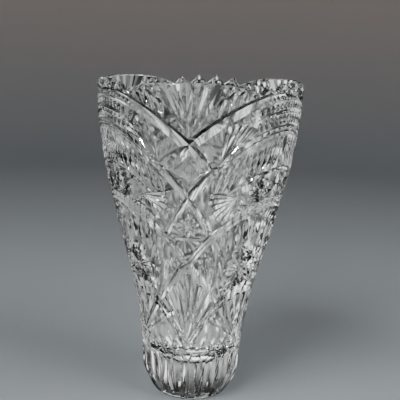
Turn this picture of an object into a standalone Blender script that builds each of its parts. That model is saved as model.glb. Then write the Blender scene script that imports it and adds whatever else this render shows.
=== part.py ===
"""Cut-crystal flower vase, one piece of glass.

Metres, +Z up. The origin is on the floor under the vase's axis, and the middle of one of
the three equal cut panels faces -Y. Every cut is a mitre, the V groove a wheel leaves.
"""
import math

import bmesh
import bpy
from mathutils import Vector

MM = 0.001

# Driving dimensions, millimetres
HEIGHT = 250.0
PANELS = 3
WALL_AT_RIM = 5.5
WALL_AT_FLOOR = 7.0
INNER_FLOOR_Z = 26.0
INNER_CORNER_HEIGHT = 22.0
FOOT_RING_OUTER = 29.5
FOOT_RING_INNER = 20.0
UNDERSIDE_RISE = 1.5
LIP_CHAMFER = 1.2

# Outer silhouette: (height, radius) of the uncut blank
OUTER_PROFILE = (
    (0.0, 29.5), (9.0, 35.0), (18.0, 38.2), (32.0, 39.4), (46.0, 40.6), (60.0, 42.4),
    (74.0, 44.7), (90.0, 48.2), (107.0, 52.6), (124.0, 57.3), (141.0, 61.7),
    (158.0, 65.9), (174.0, 69.8), (190.0, 72.9), (206.0, 75.4), (222.0, 77.4),
    (236.0, 78.3), (250.0, 78.6),
)

# Rim outline over half a panel: degrees from the panel boundary, height of the rim
RIM_OUTLINE = (
    (0.0, 243.5), (5.7, 250.0), (11.3, 243.0), (17.0, 248.0), (21.5, 241.6),
    (26.0, 244.4), (32.0, 246.8), (39.0, 248.4), (46.0, 249.2), (53.0, 249.5), (60.0, 249.6),
)
RIM_ZONE_BASE = 226.0

# Arched mitre cuts. Each is a parabola whose top is on a panel boundary: apex height,
# drop at the panel's middle, reach in degrees, half width, depth
SHOULDER_ARCH = (243.0, 36.0, 73.6, 3.4, 2.6)
SWAG_ARCH = (217.5, 49.2, 74.5, 2.4, 1.8)
WAIST_ARCH = (163.1, 45.6, 60.0, 2.4, 1.8)
FOOT_ARCH = (96.0, 48.5, 60.0, 2.8, 2.0)
# Shares of the half width above and below a groove's deepest line
EVEN = (1.0, 1.0)
SLANTED = (0.75, 1.4)

# Straight mitre cuts: degrees from the panel's middle and height at each end,
# half width and depth at the first end and at the second
FAN_MITRE = ((2.4, 217.0), (16.0, 249.5), (0.9, 0.7), (4.4, 3.2))
WAIST_ARM = ((-2.0, 120.0), (28.0, 84.5), (3.4, 2.5), (2.6, 2.0))
LOWER_BLADE = ((1.8, 54.0), (18.5, 91.0), (0.9, 0.7), (2.9, 2.3))

FLUTES = 18
FLUTE_TOP_Z = 43.0
FLUTE_BOTTOM_Z = 4.0
FLUTE_HALF_WIDTH = 6.5
FLUTE_DEPTH = 2.6

STEP_DEGREES = 7.5
CUTTER_STANDOFF = 1.5
SMOOTH_ANGLE = math.radians(30.0)


def clear_scene():
    for item in list(bpy.data.objects):
        bpy.data.objects.remove(item, do_unlink=True)


def interpolate(points, x):
    """Height or radius read from a list of (x, value) along a Catmull-Rom curve."""
    last = len(points) - 2
    i = max(k for k in range(last + 1) if points[k][0] <= x or k == 0)
    before = points[max(i - 1, 0)]
    start, end = points[i], points[i + 1]
    after = points[min(i + 2, last + 1)]
    span = end[0] - start[0]
    t = min(max((x - start[0]) / span, 0.0), 1.0)
    slope_in = (end[1] - before[1]) / (end[0] - before[0]) * span
    slope_out = (after[1] - start[1]) / (after[0] - start[0]) * span
    return (
        (2 * t**3 - 3 * t**2 + 1) * start[1]
        + (t**3 - 2 * t**2 + t) * slope_in
        + (-2 * t**3 + 3 * t**2) * end[1]
        + (t**3 - t**2) * slope_out
    )


def outer_radius(z):
    return interpolate(OUTER_PROFILE, min(max(z, 0.0), HEIGHT))


def inner_radius(z):
    """Radius of the inside: the wall thickens downwards and turns in to a round floor."""
    rise = (z - INNER_FLOOR_Z) / (HEIGHT - INNER_FLOOR_Z)
    radius = outer_radius(z) - WALL_AT_FLOOR + (WALL_AT_FLOOR - WALL_AT_RIM) * rise
    up = min((z - INNER_FLOOR_Z) / INNER_CORNER_HEIGHT, 1.0)
    return radius * math.sqrt(max(1.0 - (1.0 - up) ** 2, 0.0))


def point(radius, degrees, z):
    """A place on the vase. Zero degrees faces -Y and the angle grows towards +X."""
    angle = math.radians(degrees)
    return Vector((radius * math.sin(angle), -radius * math.cos(angle), z)) * MM


def boundary_distance(degrees):
    """Degrees to the nearest panel boundary."""
    panel = 360.0 / PANELS
    return abs((degrees % panel) - panel / 2)


def rim_z(degrees):
    outline = RIM_OUTLINE
    d = boundary_distance(degrees)
    for (d0, z0), (d1, z1) in zip(outline, outline[1:]):
        if d <= d1:
            return z0 + (z1 - z0) * (d - d0) / (d1 - d0)
    return outline[-1][1]


def azimuths():
    """Directions of the blank's facets, with one on every tooth tip and valley."""
    half = [d for d, _ in RIM_OUTLINE]
    offsets = [-d for d in reversed(half[1:])] + half[:-1]
    panel = 360.0 / PANELS
    return sorted((panel * (k + 0.5) + d) % 360.0 for k in range(PANELS) for d in offsets)


def section(degrees):
    """(radius, height) round one side of the glass, from the underside to the inner floor."""
    top = rim_z(degrees)
    outline = [
        (FOOT_RING_INNER - 1.5, UNDERSIDE_RISE),
        (FOOT_RING_INNER, 0.0),
        (FOOT_RING_OUTER, 0.0),
    ]
    lower = (9.0, 18.0, 32.0, 52.0, 72.0, 94.0, 118.0, 142.0, 166.0, 190.0, 209.0)
    outline += [(outer_radius(z), z) for z in lower]
    outline.append((outer_radius(RIM_ZONE_BASE), RIM_ZONE_BASE))
    outer_edge = top - LIP_CHAMFER
    for share in (0.5, 1.0):
        z = RIM_ZONE_BASE + share * (outer_edge - RIM_ZONE_BASE)
        outline.append((outer_radius(z), z))
    rim = outer_radius(top)
    outline += [
        (rim - LIP_CHAMFER, top),
        (rim - WALL_AT_RIM + LIP_CHAMFER, top),
        (rim - WALL_AT_RIM, outer_edge),
    ]
    for z in (RIM_ZONE_BASE, 190.0, 140.0, 90.0):
        outline.append((inner_radius(z), z))
    for share in (1.0, 0.5, 0.2, 0.03):
        z = INNER_FLOOR_Z + share * INNER_CORNER_HEIGHT
        outline.append((inner_radius(z), z))
    return outline


def make_blank(name):
    """The uncut vase: one closed body, open at the top."""
    bm = bmesh.new()
    columns = []
    for degrees in azimuths():
        columns.append([bm.verts.new(point(r, degrees, z)) for r, z in section(degrees)])
    for left, right in zip(columns, columns[1:] + columns[:1]):
        for k in range(len(left) - 1):
            bm.faces.new((left[k], right[k], right[k + 1], left[k + 1]))
    bm.faces.new([column[0] for column in reversed(columns)])
    bm.faces.new([column[-1] for column in columns])
    bmesh.ops.recalc_face_normals(bm, faces=bm.faces)
    mesh = bpy.data.meshes.new(name)
    bm.to_mesh(mesh)
    bm.free()
    blank = bpy.data.objects.new(name, mesh)
    bpy.context.collection.objects.link(blank)
    return blank


def surface_frame(degrees, z):
    """Point on the outside and the outward normal there."""
    here = point(outer_radius(z), degrees, z)
    slope = (outer_radius(z + 1.0) - outer_radius(z - 1.0)) / 2.0
    angle = math.radians(degrees)
    normal = Vector((math.sin(angle), -math.cos(angle), -slope)).normalized()
    return here, normal


def add_mitre(bm, stations, lean):
    """One V groove's cutter: a closed wedge swept along (degrees, z, half width, depth)."""
    above, below = lean
    frames = [surface_frame(d, z) for d, z, _, _ in stations]
    rows = []
    for i, (_, _, half_width, depth) in enumerate(stations):
        here, normal = frames[i]
        before = frames[max(i - 1, 0)][0]
        after = frames[min(i + 1, len(frames) - 1)][0]
        side = (after - before).cross(normal).normalized()
        spread = half_width * (depth + CUTTER_STANDOFF) / depth * MM
        high = here + normal * CUTTER_STANDOFF * MM
        rows.append([
            bm.verts.new(here - normal * depth * MM),
            bm.verts.new(high + side * spread * below),
            bm.verts.new(high - side * spread * above),
        ])
    bm.faces.new(rows[0])
    bm.faces.new(reversed(rows[-1]))
    for row, following in zip(rows, rows[1:]):
        for k in range(3):
            j = (k + 1) % 3
            bm.faces.new((row[k], following[k], following[j], row[j]))


def cut(blank, paths, lean=EVEN):
    """Take one set of grooves, none of which touches another, out of the glass."""
    bm = bmesh.new()
    for stations in paths:
        add_mitre(bm, stations, lean)
    bmesh.ops.recalc_face_normals(bm, faces=bm.faces)
    mesh = bpy.data.meshes.new("mitre_cutter")
    bm.to_mesh(mesh)
    bm.free()
    cutter = bpy.data.objects.new("mitre_cutter", mesh)
    bpy.context.collection.objects.link(cutter)
    modifier = blank.modifiers.new("cut", "BOOLEAN")
    modifier.operation = "DIFFERENCE"
    modifier.solver = "MANIFOLD"  # EXACT leaves open edges where grooves cross
    modifier.object = cutter
    bpy.context.view_layer.update()
    evaluated = blank.evaluated_get(bpy.context.evaluated_depsgraph_get())
    result = bpy.data.meshes.new_from_object(evaluated)
    blank.modifiers.clear()
    blank.data = result
    bpy.data.objects.remove(cutter, do_unlink=True)


def arch_stations(arch, boundary):
    """An arch over one panel boundary, tapering out at its two ends."""
    apex, drop, reach, half_width, depth = arch
    count = max(2, round(2 * reach / STEP_DEGREES))
    stations = []
    for i in range(count + 1):
        offset = -reach + 2 * reach * i / count
        share = offset / (180.0 / PANELS)
        z = apex - drop * share * share
        fade = 0.35 if i in (0, count) else 1.0
        stations.append((boundary + offset, z, half_width * fade, depth * fade))
    return stations


def straight_stations(cut_data, middle, side):
    (start_d, start_z), (end_d, end_z), (w0, t0), (w1, t1) = cut_data
    count = 4
    stations = []
    for i in range(count + 1):
        s = i / count
        stations.append((
            middle + side * (start_d + (end_d - start_d) * s),
            start_z + (end_z - start_z) * s,
            w0 + (w1 - w0) * s,
            t0 + (t1 - t0) * s,
        ))
    return stations


def flute_stations(degrees):
    heights = (FLUTE_BOTTOM_Z, 14.0, 24.0, 34.0, FLUTE_TOP_Z)
    fades = (0.35, 0.9, 1.0, 1.0, 0.45)
    return [
        (degrees, z, FLUTE_HALF_WIDTH * f, FLUTE_DEPTH * f) for z, f in zip(heights, fades)
    ]


def cut_pattern(blank):
    panel = 360.0 / PANELS
    middles = [panel * k for k in range(PANELS)]
    for middle in middles:
        cut(blank, [arch_stations(SHOULDER_ARCH, middle + panel / 2)], SLANTED)
    for arch in (SWAG_ARCH, WAIST_ARCH, FOOT_ARCH):
        for middle in middles:
            cut(blank, [arch_stations(arch, middle + panel / 2)])
    for data in (FAN_MITRE, WAIST_ARM, LOWER_BLADE):
        for side in (-1, 1):
            cut(blank, [straight_stations(data, middle, side) for middle in middles])
    for first in (0, 1):
        pitch = 360.0 / FLUTES
        turns = range(first, FLUTES, 2)
        cut(blank, [flute_stations(pitch * (k + 0.5)) for k in turns])


def glass_material():
    material = bpy.data.materials.new("clear_crystal")
    material.use_nodes = True
    shader = material.node_tree.nodes["Principled BSDF"]
    shader.inputs["Base Color"].default_value = (0.93, 0.95, 0.95, 1.0)
    shader.inputs["Roughness"].default_value = 0.02
    shader.inputs["Metallic"].default_value = 0.0
    shader.inputs["IOR"].default_value = 1.54
    shader.inputs["Transmission Weight"].default_value = 1.0
    return material


def tidy_mesh(blank):
    bm = bmesh.new()
    bm.from_mesh(blank.data)
    bmesh.ops.triangulate(bm, faces=bm.faces)
    bm.to_mesh(blank.data)
    bm.free()
    blank.data.shade_smooth()
    blank.data.set_sharp_from_angle(angle=SMOOTH_ANGLE)


def main():
    clear_scene()
    vase = make_blank("glass_vase")
    cut_pattern(vase)
    tidy_mesh(vase)
    vase.data.materials.clear()
    vase.data.materials.append(glass_material())


main()
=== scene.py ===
"""Cut-crystal flower vase: the fine cut surface, the glass, a plain studio and the camera.

Lengths on the vase are millimetres until they reach a mesh, and the stage and camera are in
metres. An angle on the vase is in degrees from the middle of the panel that faces -Y, growing
towards +X. MIDDLES and BOUNDARIES are the middles and edges of the three equal cut panels.
"""
import math

import bmesh
import bpy
from mathutils import Matrix, Vector


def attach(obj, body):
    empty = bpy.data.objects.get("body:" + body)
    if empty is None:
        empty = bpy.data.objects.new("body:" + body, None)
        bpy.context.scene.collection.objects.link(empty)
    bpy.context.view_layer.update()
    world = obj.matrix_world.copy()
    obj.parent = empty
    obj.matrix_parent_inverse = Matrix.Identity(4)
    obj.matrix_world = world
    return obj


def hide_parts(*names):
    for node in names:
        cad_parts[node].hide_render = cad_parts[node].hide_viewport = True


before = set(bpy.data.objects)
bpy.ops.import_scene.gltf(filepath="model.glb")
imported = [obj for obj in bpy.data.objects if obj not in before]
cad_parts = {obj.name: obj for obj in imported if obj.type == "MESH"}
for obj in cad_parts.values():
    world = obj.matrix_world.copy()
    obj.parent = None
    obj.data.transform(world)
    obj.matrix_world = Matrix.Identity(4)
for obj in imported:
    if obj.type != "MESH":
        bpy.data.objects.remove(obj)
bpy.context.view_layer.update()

MM = 0.001
PANEL = 120.0
HALF = PANEL / 2
MIDDLES = (0.0, 120.0, 240.0)
BOUNDARIES = (60.0, 180.0, 300.0)

# ---------------------------------------------------------------- the blank
HEIGHT = 250.0
WALL_AT_RIM = 5.5
WALL_AT_FLOOR = 7.0
INNER_FLOOR_Z = 26.0
INNER_CORNER_HEIGHT = 22.0
FOOT_RING_OUTER = 29.5
FOOT_RING_INNER = 20.0
UNDERSIDE_RISE = 1.5
LIP_CHAMFER = 0.8
RIM_ZONE_BASE = 226.0
COLUMN_STEP = 1.5
ROW_STEP = 2.5

OUTER_PROFILE = (
    (0.0, 29.5), (9.0, 35.0), (18.0, 38.2), (32.0, 39.4), (46.0, 40.6), (60.0, 42.4),
    (74.0, 44.7), (90.0, 48.2), (107.0, 52.6), (124.0, 57.3), (141.0, 61.7),
    (158.0, 65.9), (174.0, 69.8), (190.0, 72.9), (206.0, 75.4), (222.0, 77.4),
    (236.0, 78.3), (250.0, 78.6),
)
# Degrees from a panel boundary, height of the rim there
RIM_OUTLINE = (
    (0.0, 243.3), (3.6, 247.0), (5.0, 249.6), (5.7, 250.0), (6.4, 249.6), (7.9, 247.0),
    (11.3, 242.8), (14.8, 245.7), (16.3, 247.7), (17.0, 248.0), (17.8, 247.6),
    (19.2, 245.0), (21.2, 241.5), (23.2, 242.6), (26.0, 244.4), (32.0, 246.8),
    (39.0, 248.4), (46.0, 249.2), (53.0, 249.5), (60.0, 249.6),
)


def interpolate(points, x):
    """A value read from a list of (x, value) along a Catmull-Rom curve."""
    last = len(points) - 2
    i = max(k for k in range(last + 1) if points[k][0] <= x or k == 0)
    before, start = points[max(i - 1, 0)], points[i]
    end, after = points[i + 1], points[min(i + 2, last + 1)]
    span = end[0] - start[0]
    t = min(max((x - start[0]) / span, 0.0), 1.0)
    slope_in = (end[1] - before[1]) / (end[0] - before[0]) * span
    slope_out = (after[1] - start[1]) / (after[0] - start[0]) * span
    return (
        (2 * t**3 - 3 * t**2 + 1) * start[1]
        + (t**3 - 2 * t**2 + t) * slope_in
        + (-2 * t**3 + 3 * t**2) * end[1]
        + (t**3 - t**2) * slope_out
    )


def outer_radius(z):
    return interpolate(OUTER_PROFILE, min(max(z, 0.0), HEIGHT))


def inner_radius(z):
    rise = (z - INNER_FLOOR_Z) / (HEIGHT - INNER_FLOOR_Z)
    radius = outer_radius(z) - WALL_AT_FLOOR + (WALL_AT_FLOOR - WALL_AT_RIM) * rise
    up = min((z - INNER_FLOOR_Z) / INNER_CORNER_HEIGHT, 1.0)
    return radius * math.sqrt(max(1.0 - (1.0 - up) ** 2, 0.0))


def point(radius, degrees, z):
    angle = math.radians(degrees)
    return Vector((radius * math.sin(angle), -radius * math.cos(angle), z)) * MM


def rim_z(degrees):
    d = abs((degrees % PANEL) - HALF)
    for (d0, z0), (d1, z1) in zip(RIM_OUTLINE, RIM_OUTLINE[1:]):
        if d <= d1:
            return z0 + (z1 - z0) * (d - d0) / (d1 - d0)
    return RIM_OUTLINE[-1][1]


def azimuths():
    """Directions of the blank's columns: an even step, plus one on every rim corner."""
    corners = [d for d, _ in RIM_OUTLINE]
    offsets = {round(s * d, 2) for d in corners for s in (-1, 1) if s * d < HALF}
    steps = int(PANEL / COLUMN_STEP)
    for k in range(steps):
        d = -HALF + k * COLUMN_STEP
        if min(abs(d - o) for o in offsets) > 0.45 * COLUMN_STEP:
            offsets.add(d)
    return sorted((b + d) % 360.0 for b in BOUNDARIES for d in offsets)


def section(degrees):
    """(radius, height) round one side of the glass, from the underside to the inner floor."""
    top = rim_z(degrees)
    outline = [
        (FOOT_RING_INNER - 4.0, UNDERSIDE_RISE),
        (FOOT_RING_INNER, 0.2),
        (FOOT_RING_INNER + 0.6, 0.0),
        (FOOT_RING_OUTER - 0.6, 0.0),
        (FOOT_RING_OUTER, 0.3),
    ]
    rows = int((RIM_ZONE_BASE - 2.0) / ROW_STEP)
    for k in range(rows + 1):
        z = 2.0 + (RIM_ZONE_BASE - 2.0) * k / rows
        outline.append((outer_radius(z), z))
    outer_edge = top - LIP_CHAMFER
    for k in range(1, 6):
        z = RIM_ZONE_BASE + (outer_edge - RIM_ZONE_BASE) * k / 5
        outline.append((outer_radius(z), z))
    rim = outer_radius(top)
    outline += [
        (rim - LIP_CHAMFER, top),
        (rim - WALL_AT_RIM + LIP_CHAMFER, top),
        (rim - WALL_AT_RIM, outer_edge),
    ]
    inner_rows = 26
    base = INNER_FLOOR_Z + INNER_CORNER_HEIGHT
    for k in range(1, inner_rows + 1):
        z = RIM_ZONE_BASE - (RIM_ZONE_BASE - base) * (k - 1) / (inner_rows - 1)
        outline.append((inner_radius(z), z))
    corner_rows = 12
    for k in range(1, corner_rows):
        turn = math.radians(90.0 * k / corner_rows)
        z = INNER_FLOOR_Z + INNER_CORNER_HEIGHT * (1.0 - math.sin(turn))
        outline.append((inner_radius(z), z))
    return outline


def make_blank(name):
    bm = bmesh.new()
    columns = []
    for degrees in azimuths():
        columns.append([bm.verts.new(point(r, degrees, z)) for r, z in section(degrees)])
    for left, right in zip(columns, columns[1:] + columns[:1]):
        for k in range(len(left) - 1):
            bm.faces.new((left[k], right[k], right[k + 1], left[k + 1]))
    for end, flip in ((0, True), (-1, False)):
        ring = [column[end] for column in columns]
        middle = bm.verts.new(Vector((0.0, 0.0, ring[0].co.z)))
        for a, b in zip(ring, ring[1:] + ring[:1]):
            bm.faces.new((middle, b, a) if flip else (middle, a, b))
    bmesh.ops.recalc_face_normals(bm, faces=bm.faces)
    mesh = bpy.data.meshes.new(name)
    bm.to_mesh(mesh)
    bm.free()
    blank = bpy.data.objects.new(name, mesh)
    bpy.context.collection.objects.link(blank)
    return blank


# ---------------------------------------------------------------- cutting
V_WHEEL = ((-1.0, 0.0), (0.0, 1.0), (1.0, 0.0))
# Narrow, steep side up and broad side down on an arch's crest
SLANT_WHEEL = ((-0.95, 0.0), (0.0, 1.0), (1.4, 0.0))


def round_edge(sides, spread_degrees):
    """Cross-section of a wheel with a rounded edge, as (across, deep) shares."""
    full = math.radians(spread_degrees)
    edge = []
    for k in range(sides + 1):
        turn = full * (2.0 * k / sides - 1.0)
        edge.append((math.sin(turn) / math.sin(full),
                     (math.cos(turn) - math.cos(full)) / (1.0 - math.cos(full))))
    return tuple(edge)


ROUND_WHEEL = round_edge(7, 48.0)
# Blunt wheel that leaves a wide, nearly flat panel between two steep sides
PANEL_WHEEL = ((-1.0, 0.0), (-0.62, 0.8), (0.0, 1.0), (0.62, 0.8), (1.0, 0.0))
STANDOFF = 0.8


def surface_frame(degrees, z):
    here = point(outer_radius(z), degrees, z)
    slope = (outer_radius(z + 1.0) - outer_radius(z - 1.0)) / 2.0
    angle = math.radians(degrees)
    normal = Vector((math.sin(angle), -math.cos(angle), -slope)).normalized()
    return here, normal


def add_cut(bm, stations, wheel):
    """One groove's cutter: the wheel's edge swept along (degrees, z, half width, depth)."""
    frames = [surface_frame(s[0], s[1]) for s in stations]
    (x0, t0), (x1, t1) = wheel[:2]
    (x2, t2), (x3, t3) = wheel[-2:]
    left_slope, right_slope = (t1 - t0) / (x1 - x0), (t2 - t3) / (x3 - x2)
    rows = []
    for i, (_, _, half_width, depth) in enumerate(stations):
        here, normal = frames[i]
        before = frames[max(i - 1, 0)][0]
        after = frames[min(i + 1, len(frames) - 1)][0]
        side = (after - before).cross(normal).normalized()
        left = x0 - STANDOFF / (depth * left_slope)
        right = x3 + STANDOFF / (depth * right_slope)
        row = [bm.verts.new(here + (side * x * half_width - normal * t * depth) * MM)
               for x, t in wheel[1:-1]]
        row.append(bm.verts.new(here + (side * right * half_width + normal * STANDOFF) * MM))
        row.append(bm.verts.new(here + (side * left * half_width + normal * STANDOFF) * MM))
        rows.append(row)
    count = len(rows[0])
    bm.faces.new(rows[0])
    bm.faces.new(reversed(rows[-1]))
    for row, following in zip(rows, rows[1:]):
        for k in range(count):
            j = (k + 1) % count
            bm.faces.new((row[k], following[k], following[j], row[j]))


def cut(glass, paths, wheel=V_WHEEL):
    """Take a set of grooves out of the glass. No two grooves of a set touch."""
    bm = bmesh.new()
    for stations in paths:
        add_cut(bm, stations, wheel)
    bmesh.ops.recalc_face_normals(bm, faces=bm.faces)
    mesh = bpy.data.meshes.new("wheel")
    bm.to_mesh(mesh)
    bm.free()
    cutter = bpy.data.objects.new("wheel", mesh)
    bpy.context.collection.objects.link(cutter)
    modifier = glass.modifiers.new("cut", "BOOLEAN")
    modifier.operation = "DIFFERENCE"
    modifier.solver = "MANIFOLD"
    modifier.object = cutter
    bpy.context.view_layer.update()
    depsgraph = bpy.context.evaluated_depsgraph_get()
    result = bpy.data.meshes.new_from_object(glass.evaluated_get(depsgraph))
    glass.modifiers.clear()
    old = glass.data
    glass.data = result
    bpy.data.meshes.remove(old)
    bpy.data.objects.remove(cutter, do_unlink=True)
    bpy.data.meshes.remove(mesh)


def arch_z(arch, share):
    """Height of an arch at a share of half a panel from its top."""
    apex, drop = arch
    return apex - drop * share * share


SHOULDER = (243.0, 36.0)
SWAG = (217.5, 49.2)
WAIST = (163.1, 45.6)
FOOT_ARCH = (96.0, 48.5)
BEAD_LINE = (230.5, 40.0)
CRIMP_LINE = (189.0, 43.0)
# Arch, reach in degrees, half width, depth, lift above the arch
SHOULDER_GROOVE = (SHOULDER, 73.6, 3.4, 3.3, 0.0)
ARCH_EDGES = (
    (SWAG, 45.5, 1.6, 1.3, 2.0), (SWAG, 45.5, 1.6, 1.3, -2.0),
    (WAIST, 60.0, 1.8, 1.5, 2.0), (WAIST, 60.0, 1.6, 1.3, -2.0),
    (FOOT_ARCH, 60.0, 2.2, 1.8, 2.4), (FOOT_ARCH, 60.0, 2.2, 1.8, -2.4),
)
ROW_LINES = ((BEAD_LINE, 24.0, 1.3, 1.1, 0.0), (CRIMP_LINE, 38.0, 1.5, 1.3, 0.0))
ARCH_STEP = 3.0


def arch_cut(boundary, arch, reach, half_width, depth, lift):
    """A groove along an arch over one panel boundary, running out to nothing at its ends."""
    count = max(4, round(2 * reach / ARCH_STEP))
    stations = []
    for i in range(count + 1):
        offset = -reach + 2 * reach * i / count
        z = arch_z(arch, offset / HALF) + lift
        fade = min(1.0, 0.15 + 0.5 * min(i, count - i))
        stations.append((boundary + offset, z, half_width * fade, depth * fade))
    return stations


def run(start, end, half_width, depth, form="leaf", bow=0.0, step=4.0):
    """A groove between two (degrees, z) points.

    A leaf runs out to a point at both ends, a ray is deepest at its second end, a petal is
    deepest near it and blunt, and a bar keeps its depth. Bow bends the groove upwards by that
    many millimetres at its middle.
    """
    reach = math.hypot((end[0] - start[0]) * 1.2, end[1] - start[1])
    count = max(4, round(reach / step))
    stations = []
    for i in range(count + 1):
        s = i / count
        if form == "leaf":
            fade = max(math.sin(math.pi * s), 0.0) ** 0.7
        elif form == "ray":
            fade = s ** 0.8
        elif form == "petal":
            fade = min(1.0, 0.12 + s * 1.25) * (1.0 if s < 0.9 else 0.55)
        else:
            fade = min(1.0, 0.2 + 3.0 * min(s, 1.0 - s))
        fade = max(fade, 0.06)
        degrees = start[0] + (end[0] - start[0]) * s
        z = start[1] + (end[1] - start[1]) * s + bow * 4.0 * s * (1.0 - s)
        stations.append((degrees, z, half_width * fade, depth * fade))
    return stations


def everywhere(stations_list):
    """Copies of half-panel grooves, mirrored and turned to all six half panels."""
    copies = []
    for stations in stations_list:
        for middle in MIDDLES:
            for side in (-1, 1):
                copies.append([(middle + side * d, z, w, t) for d, z, w, t in stations])
    return copies


def each_panel(stations_list):
    return [
        [(middle + d, z, w, t) for d, z, w, t in stations]
        for stations in stations_list
        for middle in MIDDLES
    ]


def each_boundary(stations_list):
    return [
        [(boundary + d, z, w, t) for d, z, w, t in stations]
        for stations in stations_list
        for boundary in BOUNDARIES
    ]


def degrees_per_mm(z):
    return 180.0 / (math.pi * outer_radius(z))


def star_rays(centre, count, inner, outer, half_width, depth):
    """Rays of a cut star between two radii. They start clear of each other in its middle."""
    rays = []
    scale = degrees_per_mm(centre[1])
    for k in range(count):
        angle = 2 * math.pi * k / count
        across, up = math.sin(angle), math.cos(angle)
        start = (centre[0] + inner * across * scale, centre[1] + inner * up)
        end = (centre[0] + outer * across * scale, centre[1] + outer * up)
        rays.append(run(start, end, half_width, depth, "leaf"))
    return rays


SHORTEST_HATCH = 2.0


def hatch(polygon, direction, spacing, half_width, depth):
    """Parallel grooves that fill a polygon of (degrees, z), clipped to it.

    Direction is in degrees above the horizontal, measured on the glass.
    """
    middle_z = sum(p[1] for p in polygon) / len(polygon)
    scale = degrees_per_mm(middle_z)
    flat = [(d / scale, z) for d, z in polygon]
    angle = math.radians(direction)
    along = (math.cos(angle), math.sin(angle))
    across = (-along[1], along[0])
    offsets = [x * across[0] + z * across[1] for x, z in flat]
    low, high = min(offsets), max(offsets)
    count = int((high - low) / spacing)
    first = (low + high) / 2 - spacing * (count - 1) / 2
    lines = []
    for k in range(count):
        offset = first + k * spacing
        hits = []
        for (x0, z0), (x1, z1) in zip(flat, flat[1:] + flat[:1]):
            o0 = x0 * across[0] + z0 * across[1] - offset
            o1 = x1 * across[0] + z1 * across[1] - offset
            if (o0 < 0) != (o1 < 0):
                s = o0 / (o0 - o1)
                x, z = x0 + (x1 - x0) * s, z0 + (z1 - z0) * s
                hits.append(x * along[0] + z * along[1])
        hits.sort()
        for a, b in zip(hits[::2], hits[1::2]):
            if b - a < SHORTEST_HATCH:
                continue
            start = ((a * along[0] + offset * across[0]) * scale,
                     a * along[1] + offset * across[1])
            end = ((b * along[0] + offset * across[0]) * scale,
                   b * along[1] + offset * across[1])
            lines.append(run(start, end, half_width, depth, "bar"))
    return lines


def between(low, high, share):
    return low + (high - low) * share


def shoulder_z(degrees):
    return arch_z(SHOULDER, (HALF - degrees) / HALF)


def swag_z(degrees):
    return arch_z(SWAG, (HALF - degrees) / HALF)


def waist_z(degrees):
    return arch_z(WAIST, (HALF - degrees) / HALF)


def bead_z(degrees):
    return arch_z(BEAD_LINE, (HALF - degrees) / HALF)


def crimp_z(degrees):
    return arch_z(CRIMP_LINE, (HALF - degrees) / HALF)


def foot_arch_z(degrees):
    return arch_z(FOOT_ARCH, (HALF - degrees) / HALF)


def sun(centre, count, first, step, inner, outer, half_width, depth, keep, odd):
    """Every other petal of a fan round a centre, shortened to stay where keep allows.

    The first petal's angle and the step are in degrees, from the direction of growing degrees
    upwards. Inner and outer are the petals' reach in millimetres.
    """
    scale = degrees_per_mm(centre[1])
    petals = []
    for k in range(odd, count, 2):
        angle = math.radians(first + step * k)
        across, up = math.cos(angle) * scale, math.sin(angle)
        reach = outer
        while reach > inner + 4.0 and not keep(centre[0] + reach * across,
                                              centre[1] + reach * up):
            reach -= 0.5
        if reach > inner + 4.0:
            petals.append(run((centre[0] + inner * across, centre[1] + inner * up),
                              (centre[0] + reach * across, centre[1] + reach * up),
                              half_width, depth, "petal", step=3.0))
    return petals


def fringe(line, lift, length, lean, start, end, step, half_width, depth):
    """A row of short leaves standing on an arch, or hanging from it."""
    leaves = []
    count = int((end - start) / step) + 1
    for k in range(count):
        d = start + step * k
        foot = line(d) + lift
        leaves.append(run((d, foot), (d + lean, foot + length), half_width, depth,
                          "leaf", step=2.2))
    return leaves


def alternate(glass, grooves, copies, wheel=V_WHEEL):
    """Cut a row of touching grooves in two passes, every other one at a time."""
    for first in (0, 1):
        cut(glass, copies(grooves[first::2]), wheel)


def cut_arches(glass):
    """The broad slanted shoulder grooves, then the lines of the arches below."""
    for boundary in BOUNDARIES:
        cut(glass, [arch_cut(boundary, *SHOULDER_GROOVE)], SLANT_WHEEL)
    # The swags cross at the diamond, narrow below it and broad where they frame it
    for side in (-1, 1):
        below = [(-side * d, swag_z(-d), 2.2, 1.8) for d in (14.6, 11.0, 7.0, 3.0)]
        frame_edge = [(side * d, swag_z(d), 3.2, 2.4) for d in (0.0, 4.0, 8.0, 12.0, 15.0)]
        tail = [(side * 17.5, swag_z(17.5), 0.3, 0.2)]
        cut(glass, each_panel([below + frame_edge + tail]))
    for boundary in BOUNDARIES:
        cut(glass, [arch_cut(boundary, *edge) for edge in ARCH_EDGES])
        cut(glass, [arch_cut(boundary, *line) for line in ROW_LINES])


FAN_CURLS = 4
FAN_DROPS = 3


def cut_fan(glass):
    """The open fan above the meeting of two shoulders."""
    cut(glass, everywhere([run((2.4, 217.0), (16.0, 249.5), 4.4, 3.2, "ray")]))
    cut(glass, everywhere([run((1.2, 216.0), (7.6, 248.5), 3.2, 2.2, "ray")]))
    cut(glass, each_panel([run((0.0, 213.0), (0.0, 248.5), 3.2, 2.2, "ray")]))
    curls = []
    for k in range(FAN_CURLS):
        d = 13.5 + 5.6 * k
        low = shoulder_z(d) + 4.0
        top = min(low + 14.0, rim_z(d + 3.0) - 2.2)
        if top - low > 4.0:
            curls.append(run((d, low), (d + 4.2, top), 3.1, 2.2, bow=1.6, step=3.0))
    alternate(glass, curls, everywhere, ROUND_WHEEL)
    drops = [run((15.0 + 4.6 * k, 240.5 + 0.9 * k), (17.2 + 4.6 * k, 248.6), 2.4, 1.7)
             for k in range(FAN_DROPS)]
    alternate(glass, drops, everywhere)


DIAMOND = ((0.0, 198.5), (8.6, 188.0), (0.0, 176.0), (-8.6, 188.0))
# Spacing, half width, depth
FINE_HATCH = (1.3, 0.66, 0.42)


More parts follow.
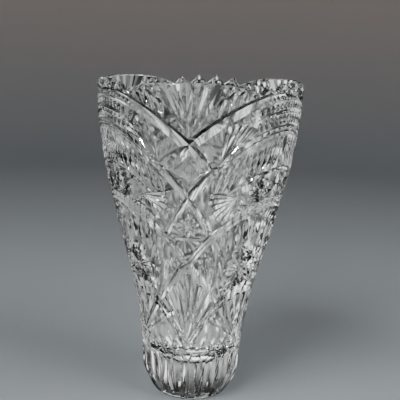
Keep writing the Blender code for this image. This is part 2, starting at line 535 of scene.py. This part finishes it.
def cut_diamond(glass):
    """The finely hatched diamond where two bands cross, inside its broad frame."""
    for direction in (0.0, 90.0):
        cut(glass, each_panel(hatch(DIAMOND, direction, *FINE_HATCH)))


FEATHER_ORIGIN = (16.8, 191.5)
FEATHERS = 8
BAND_BEADS = 7


def cut_bands(glass):
    """Feathers out of the diamond's side corners, then two rows of beads."""
    origin = FEATHER_ORIGIN
    feathers = []
    for k in range(FEATHERS):
        share = k / (FEATHERS - 1.0)
        end_d = between(20.5, 38.0, math.sin(math.radians(90.0 * share)))
        high, low = shoulder_z(end_d) - 6.4, swag_z(end_d) + 4.6
        end = (end_d, between(high, low, share))
        start = (between(origin[0], end[0], 0.08), between(origin[1], end[1], 0.08))
        feathers.append(run(start, end, 2.5, 1.9, "petal"))
    alternate(glass, feathers, everywhere)
    leaves = [run((25.0 + 4.4 * k, shoulder_z(25.0 + 4.4 * k) - 14.5),
                  (23.4 + 4.4 * k, shoulder_z(23.4 + 4.4 * k) - 5.6), 2.4, 1.8)
              for k in range(3)]
    alternate(glass, leaves, everywhere)
    beads = []
    for k in range(BAND_BEADS):
        d = 37.6 + 3.5 * k
        high, middle = shoulder_z(d) - 5.8, bead_z(d)
        low = swag_z(d) + 4.4
        beads.append((run((d, middle + 1.4), (d + 1.2, high), 2.5, 1.9, step=2.0),
                      run((d + 1.2, low), (d, middle - 1.4), 2.5, 1.9, step=2.0)))
    for first in (0, 1):
        pairs = [bead for pair in beads[first::2] for bead in pair]
        cut(glass, everywhere(pairs), ROUND_WHEEL)


CRIMPS = 10


def cut_crimps(glass):
    """The row of deep curls hanging under the swag."""
    curls = []
    for k in range(CRIMPS):
        d = 16.5 + 4.7 * k
        high, low = swag_z(d) - 4.0, crimp_z(d) + 1.6
        curls.append(run((d - 2.4, low), (d + 2.2, high), 3.1, 2.4, bow=1.2, step=3.0))
    alternate(glass, curls, everywhere, ROUND_WHEEL)


def cut_kite(glass):
    """The kite under the diamond: a star in its upper half, plain below."""
    cut(glass, each_panel([run((-11.5, 138.2), (11.5, 138.2), 1.8, 1.5)]))
    alternate(glass, star_rays((0.0, 147.5), 10, 0.9, 8.6, 1.9, 1.5), each_panel)
    cut(glass, each_panel([run((0.0, 154.5), (0.0, 166.0), 1.6, 1.3)]))


# Centre, rays or petals
HALF_SUN = ((30.5, 169.5), 11)
SIDE_STAR = ((45.5, 173.5), 12)
WAIST_SUN = ((45.0, 111.0), 16)


def cut_side_motifs(glass):
    """Half suns either side of the kite, and a star beyond each."""
    def inside(d, z):
        return d > 6.5 and waist_z(d) + 3.4 < z < swag_z(d) - 2.4

    for odd in (0, 1):
        cut(glass, everywhere(sun(*HALF_SUN, 172.0, 14.0, 1.6, 22.0, 2.9, 2.1, inside, odd)))
    alternate(glass, star_rays(*SIDE_STAR, 1.4, 12.5, 2.7, 2.0), everywhere)
    cut(glass, everywhere([run((33.5, 159.5), (39.0, 164.5), 2.4, 1.8),
                           run((32.5, 180.0), (38.5, 181.5), 2.0, 1.5)]))
    cut(glass, each_boundary([run((0.0, 166.0), (0.0, 186.0), 2.8, 2.1)]))


def cut_waist(glass):
    """Crossed arms, long verticals and petals between waist and foot arches."""
    for side in (-1, 1):
        cut(glass, each_panel([run((-side * 3.0, 121.0), (side * 29.5, 83.5), 3.6, 2.7,
                                   "bar")]))
    cut(glass, everywhere([run((16.5, 134.5), (31.0, 88.0), 2.4, 1.9, "bar")]))
    cut(glass, everywhere([run((22.0, 141.0), (34.5, 90.0), 2.4, 1.9, "bar")]))
    cut(glass, everywhere([run((12.0, 127.5), (19.5, 98.5), 3.0, 2.2)]))
    cut(glass, everywhere([run((8.0, 121.5), (14.0, 104.5), 2.2, 1.7)]))

    def inside(d, z):
        return 31.5 < d < 60.0 and foot_arch_z(d) + 4.8 < z < waist_z(d) - 3.8

    for odd in (0, 1):
        cut(glass, everywhere(sun(*WAIST_SUN, -60.0, 22.5, 2.2, 20.0, 3.2, 2.3, inside, odd)))
    alternate(glass, fringe(waist_z, -4.0, -20.0, 1.6, 28.0, 57.0, 5.8, 3.2, 2.3),
              everywhere)
    cut(glass, each_boundary([run((0.0, 118.0), (0.0, 152.0), 3.0, 2.2)]))


SIDE_BLADES = 4


def cut_lower_fan(glass):
    """Blades rising from the foot at the panels' middles and at their boundaries."""
    cut(glass, everywhere([run((1.8, 53.0), (19.5, 92.5), 3.2, 2.5, "ray")]))
    cut(glass, everywhere([run((1.1, 57.0), (10.6, 99.5), 3.0, 2.2, "ray")]))
    cut(glass, each_panel([run((0.0, 55.0), (0.0, 109.0), 3.0, 2.2, "ray")]))
    cut(glass, each_boundary([run((0.0, 53.0), (0.0, 90.0), 3.0, 2.3, "ray")]))
    for k in range(SIDE_BLADES):
        reach = 9.4 * (k + 1)
        for side in (-1, 1):
            cut(glass, each_boundary([run((side * (1.2 + 1.0 * k), 54.0 - 0.5 * k),
                                          (side * reach, foot_arch_z(HALF - reach) - 5.0),
                                          2.9, 2.2, "ray")]))


FLUTES = 18
BEADS = 30
# Height, half width, depth
FLUTE_STATIONS = (
    (0.4, 5.4, 2.0), (5.0, 6.2, 2.4), (12.0, 6.7, 2.7), (20.0, 6.9, 2.7),
    (30.0, 6.9, 2.6), (36.0, 6.2, 2.2), (40.0, 4.6, 1.6), (42.5, 2.6, 0.8), (44.0, 0.5, 0.2),
)


def cut_foot(glass):
    """Broad hollow flutes round the foot, closed by a ring of beads above them."""
    pitch = 360.0 / FLUTES
    flutes = []
    for k in range(FLUTES):
        d = pitch * (k + 0.5)
        flutes.append([(d, z, width, depth) for z, width, depth in FLUTE_STATIONS])
    alternate(glass, flutes, list, PANEL_WHEEL)
    pitch = 360.0 / BEADS
    beads = [run((pitch * k, 44.0), (pitch * k, 52.4), 3.8, 2.4, step=2.0)
             for k in range(BEADS)]
    alternate(glass, beads, list, ROUND_WHEEL)


def cut_rim(glass):
    """Short grooves down from the notches between the teeth."""
    marks = []
    for d in (-17.0, -11.3, -5.7, 0.0, 5.7, 11.3, 17.0):
        top = rim_z(HALF + d)
        marks.append(run((d, 240.5), (d, top + 0.6), 1.3, 1.0, "ray"))
    cut(glass, each_boundary(marks))


def keep_largest(mesh):
    """Drop the crumbs that crossing grooves leave loose."""
    bm = bmesh.new()
    bm.from_mesh(mesh)
    seen = set()
    bodies = []
    for face in bm.faces:
        if face in seen:
            continue
        seen.add(face)
        body, queue = [face], [face]
        while queue:
            for edge in queue.pop().edges:
                for other in edge.link_faces:
                    if other not in seen:
                        seen.add(other)
                        body.append(other)
                        queue.append(other)
        bodies.append(body)
    bodies.sort(key=len)
    crumbs = [face for body in bodies[:-1] for face in body]
    bmesh.ops.delete(bm, geom=crumbs, context="FACES")
    bm.to_mesh(mesh)
    bm.free()


def build_glass():
    glass = make_blank("cut_crystal")
    cut_arches(glass)
    cut_fan(glass)
    cut_diamond(glass)
    cut_bands(glass)
    cut_crimps(glass)
    cut_kite(glass)
    cut_side_motifs(glass)
    cut_waist(glass)
    cut_lower_fan(glass)
    cut_foot(glass)
    cut_rim(glass)
    keep_largest(glass.data)
    glass.data.shade_smooth()
    glass.data.set_sharp_from_angle(angle=math.radians(20.0))
    return glass


# A face this far inside the outer profile belongs to the bore, as no cut goes as deep
INSIDE_MARGIN = 3.6


def mark_inside(mesh):
    """Give the bore, which was pressed and not cut, the second material."""
    for face in mesh.polygons:
        x, y, z = face.center / MM
        if z > INNER_FLOOR_Z - 1.0 and math.hypot(x, y) < outer_radius(z) - INSIDE_MARGIN:
            face.material_index = 1


# ---------------------------------------------------------------- materials
GLASS_COLOUR = (0.97, 0.985, 0.98, 1.0)
GLASS_IOR = 1.54
SMEAR_SCALE = 30.0
RIPPLE_STRENGTH = 0.08
RIPPLE_DEPTH = 0.001


def crystal_material(name, polished, worn):
    """Clear lead glass. Roughness wanders between the two given, like wiped glass."""
    material = bpy.data.materials.new(name)
    material.use_nodes = True
    nodes, links = material.node_tree.nodes, material.node_tree.links
    shader = nodes["Principled BSDF"]
    shader.inputs["Base Color"].default_value = GLASS_COLOUR
    shader.inputs["IOR"].default_value = GLASS_IOR
    shader.inputs["Transmission Weight"].default_value = 1.0
    coords = nodes.new("ShaderNodeTexCoord")
    smears = nodes.new("ShaderNodeTexNoise")
    smears.inputs["Scale"].default_value = SMEAR_SCALE
    smears.inputs["Detail"].default_value = 3.0
    links.new(coords.outputs["Object"], smears.inputs["Vector"])
    polish = nodes.new("ShaderNodeMapRange")
    polish.inputs["To Min"].default_value = polished
    polish.inputs["To Max"].default_value = worn
    links.new(smears.outputs["Fac"], polish.inputs["Value"])
    links.new(polish.outputs["Result"], shader.inputs["Roughness"])
    ripple = nodes.new("ShaderNodeBump")
    ripple.inputs["Strength"].default_value = RIPPLE_STRENGTH
    ripple.inputs["Distance"].default_value = RIPPLE_DEPTH
    links.new(smears.outputs["Fac"], ripple.inputs["Height"])
    links.new(ripple.outputs["Normal"], shader.inputs["Normal"])
    return material


def matte(name, colour):
    material = bpy.data.materials.new(name)
    material.use_nodes = True
    shader = material.node_tree.nodes["Principled BSDF"]
    shader.inputs["Base Color"].default_value = (*colour, 1.0)
    shader.inputs["Roughness"].default_value = 0.9
    return material


# ---------------------------------------------------------------- stage
# The camera's place round the vase, which the lights keep to as well
CAMERA_TURN = math.radians(7.3)
FLOOR_COLOUR = (0.43, 0.47, 0.50, 1.0)
WALL_COLOUR = (0.68, 0.61, 0.575, 1.0)
# Heights between which the floor's colour turns into the wall's
BLEND_BASE = 0.02
BLEND_TOP = 0.5
FLOOR_REACH = 1.2
BEND = 0.8
WALL_TOP = 2.4
SWEEP_SIDES = 72
# Just under the foot, so that the two never share a plane
SWEEP_DROP = 0.0002


def sweep_material():
    """Matte studio sweep: cool at the floor, warmer up the wall."""
    material = matte("pale_sweep", (0.5, 0.5, 0.5))
    nodes, links = material.node_tree.nodes, material.node_tree.links
    shader = nodes["Principled BSDF"]
    place = nodes.new("ShaderNodeNewGeometry")
    split = nodes.new("ShaderNodeSeparateXYZ")
    links.new(place.outputs["Position"], split.inputs["Vector"])
    height = nodes.new("ShaderNodeMapRange")
    height.inputs["From Min"].default_value = BLEND_BASE
    height.inputs["From Max"].default_value = BLEND_TOP
    links.new(split.outputs["Z"], height.inputs["Value"])
    ramp = nodes.new("ShaderNodeValToRGB")
    ramp.color_ramp.elements[0].color = FLOOR_COLOUR
    ramp.color_ramp.elements[1].color = WALL_COLOUR
    links.new(height.outputs["Result"], ramp.inputs["Fac"])
    links.new(ramp.outputs["Color"], shader.inputs["Base Color"])
    return material


def add_sweep():
    """A round floor that turns up into a wall on every side."""
    outline = [(0.02, 0.0), (FLOOR_REACH / 2, 0.0), (FLOOR_REACH, 0.0)]
    for k in range(1, 13):
        turn = math.radians(90.0 * k / 12)
        outline.append((FLOOR_REACH + BEND * math.sin(turn), BEND * (1.0 - math.cos(turn))))
    outline.append((FLOOR_REACH + BEND, WALL_TOP))
    bm = bmesh.new()
    columns = []
    for k in range(SWEEP_SIDES):
        angle = 2 * math.pi * k / SWEEP_SIDES
        columns.append([bm.verts.new((r * math.cos(angle), r * math.sin(angle), z - SWEEP_DROP))
                        for r, z in outline])
    for left, right in zip(columns, columns[1:] + columns[:1]):
        for k in range(len(left) - 1):
            bm.faces.new((left[k], left[k + 1], right[k + 1], right[k]))
    bm.faces.new([column[0] for column in columns])
    bmesh.ops.recalc_face_normals(bm, faces=bm.faces)
    bmesh.ops.reverse_faces(bm, faces=bm.faces)
    mesh = bpy.data.meshes.new("studio_sweep")
    bm.to_mesh(mesh)
    bm.free()
    mesh.shade_smooth()
    mesh.materials.append(sweep_material())
    sweep = bpy.data.objects.new("studio_sweep", mesh)
    # The glass shows the room instead, so that its facets have something to pick up
    sweep.visible_transmission = False
    sweep.visible_glossy = False
    bpy.context.collection.objects.link(sweep)


# Name, turn from the camera's forward direction, rise, radiance
SOFT_BOXES = (("key", -140.0, 50.0, 6.0), ("fill", 120.0, 45.0, 4.0))
SOFT_BOX_SIZE = 0.7
# Small lamps that only make sparkles: turn, rise
GLINTS = ((140.0, 40.0), (-100.0, 60.0), (-165.0, 30.0))
GLINT_SIZE = 0.08
GLINT_RADIANCE = 350.0
LIGHT_DISTANCE = 1.3
LIGHT_TARGET = Vector((0.0, 0.0, 0.12))


def add_area(name, turn, rise, size, radiance):
    """A square soft box aimed at the vase. Turn is from the camera's forward direction."""
    bearing = math.radians(90.0 - turn) + CAMERA_TURN
    lift = math.radians(rise)
    offset = Vector((math.cos(bearing) * math.cos(lift), math.sin(bearing) * math.cos(lift),
                     math.sin(lift)))
    data = bpy.data.lights.new(name, "AREA")
    data.size = size
    data.energy = radiance * math.pi * size * size
    light = bpy.data.objects.new(name, data)
    light.location = LIGHT_TARGET + offset * LIGHT_DISTANCE
    light.rotation_euler = (-offset).to_track_quat("-Z", "Y").to_euler()
    bpy.context.collection.objects.link(light)
    return light


# Share of the cards, brightness there: dark, grey, and a few as bright as soft boxes
ROOM_TONES = (
    (0.0, 0.008), (0.38, 0.03), (0.42, 0.10), (0.80, 0.22), (0.84, 0.7), (1.0, 1.5),
)
ROOM_CELLS = 2.5
ROOM_TURN = math.radians(150.0)
# Height of a direction from 0 straight down to 1 straight up, gain there, light added there
ROOM_HEIGHTS = (
    (0.0, 1.3, 0.32), (0.27, 1.3, 0.32), (0.31, 0.6, 0.02), (0.38, 0.6, 0.04),
    (0.42, 1.3, 0.40), (0.46, 1.4, 0.16), (0.50, 1.4, 0.08), (0.55, 0.5, 0.0),
    (0.60, 0.02, 0.0), (1.0, 0.02, 0.0),
)


def fill_ramp(ramp, stops):
    """Set a colour ramp from (position, red, green, blue) stops."""
    while len(ramp.elements) > 1:
        ramp.elements.remove(ramp.elements[-1])
    ramp.elements[0].position = stops[0][0]
    ramp.elements[0].color = (*stops[0][1:], 1.0)
    for stop in stops[1:]:
        ramp.elements.new(stop[0]).color = (*stop[1:], 1.0)


def build_room():
    """The room that the glass shows: cards of many tones, brighter below than above."""
    world = bpy.data.worlds.new("room")
    bpy.context.scene.world = world
    world.use_nodes = True
    nodes, links = world.node_tree.nodes, world.node_tree.links
    coords = nodes.new("ShaderNodeTexCoord")
    cards = nodes.new("ShaderNodeTexVoronoi")
    cards.inputs["Scale"].default_value = ROOM_CELLS
    aim = nodes.new("ShaderNodeMapping")
    aim.inputs["Rotation"].default_value = (0.0, 0.0, ROOM_TURN)
    links.new(coords.outputs["Generated"], aim.inputs["Vector"])
    links.new(aim.outputs["Vector"], cards.inputs["Vector"])
    pick = nodes.new("ShaderNodeSeparateColor")
    links.new(cards.outputs["Color"], pick.inputs["Color"])
    tones = nodes.new("ShaderNodeValToRGB")
    fill_ramp(tones.color_ramp, [(share, tone, tone, tone) for share, tone in ROOM_TONES])
    links.new(pick.outputs["Red"], tones.inputs["Fac"])
    split = nodes.new("ShaderNodeSeparateXYZ")
    links.new(coords.outputs["Generated"], split.inputs["Vector"])
    height = nodes.new("ShaderNodeMapRange")
    height.inputs["From Min"].default_value = -1.0
    links.new(split.outputs["Z"], height.inputs["Value"])
    levels = nodes.new("ShaderNodeValToRGB")
    fill_ramp(levels.color_ramp, [(up, gain, glow, 0.0) for up, gain, glow in ROOM_HEIGHTS])
    links.new(height.outputs["Result"], levels.inputs["Fac"])
    parts = nodes.new("ShaderNodeSeparateColor")
    links.new(levels.outputs["Color"], parts.inputs["Color"])
    shade = nodes.new("ShaderNodeMath")
    shade.operation = "MULTIPLY_ADD"
    links.new(tones.outputs["Color"], shade.inputs[0])
    links.new(parts.outputs["Red"], shade.inputs[1])
    links.new(parts.outputs["Green"], shade.inputs[2])
    links.new(shade.outputs["Value"], nodes["Background"].inputs["Color"])


def build_stage():
    add_sweep()
    build_room()
    for name, turn, rise, radiance in SOFT_BOXES:
        soft_box = add_area(name, turn, rise, SOFT_BOX_SIZE, radiance)
        soft_box.visible_transmission = False
        soft_box.visible_glossy = False
    for k, (turn, rise) in enumerate(GLINTS):
        glint = add_area(f"glint_{k}", turn, rise, GLINT_SIZE, GLINT_RADIANCE)
        glint.visible_diffuse = False
    bpy.context.scene.view_settings.look = "AgX - Medium High Contrast"


# ---------------------------------------------------------------- camera
CAMERA_DISTANCE = 0.5875
CAMERA_SIDE = -0.0255
CAMERA_HEIGHT = 0.2725
CAMERA_PITCH = math.radians(11.39)
CAMERA_ROLL = math.radians(1.5)
CAMERA_SHIFT = 0.0908
CAMERA_LENS = 68.35


def add_camera():
    data = bpy.data.cameras.new("camera")
    data.sensor_width = 36.0
    data.lens = CAMERA_LENS
    data.shift_x = CAMERA_SHIFT
    camera = bpy.data.objects.new("camera", data)
    bpy.context.collection.objects.link(camera)
    turn = Matrix.Rotation(CAMERA_TURN, 4, "Z")
    place = Matrix.Translation((CAMERA_SIDE, -CAMERA_DISTANCE, CAMERA_HEIGHT))
    aim = Matrix.Rotation(math.radians(90.0) - CAMERA_PITCH, 4, "X")
    roll = Matrix.Rotation(CAMERA_ROLL, 4, "Z")
    camera.matrix_world = turn @ place @ aim @ roll
    bpy.context.scene.camera = camera


glass = build_glass()
glass.data.materials.clear()
glass.data.materials.append(crystal_material("clear_crystal", 0.01, 0.04))
glass.data.materials.append(crystal_material("pressed_inside", 0.08, 0.12))
mark_inside(glass.data)
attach(glass, "root")
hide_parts("glass_vase")
build_stage()
add_camera()
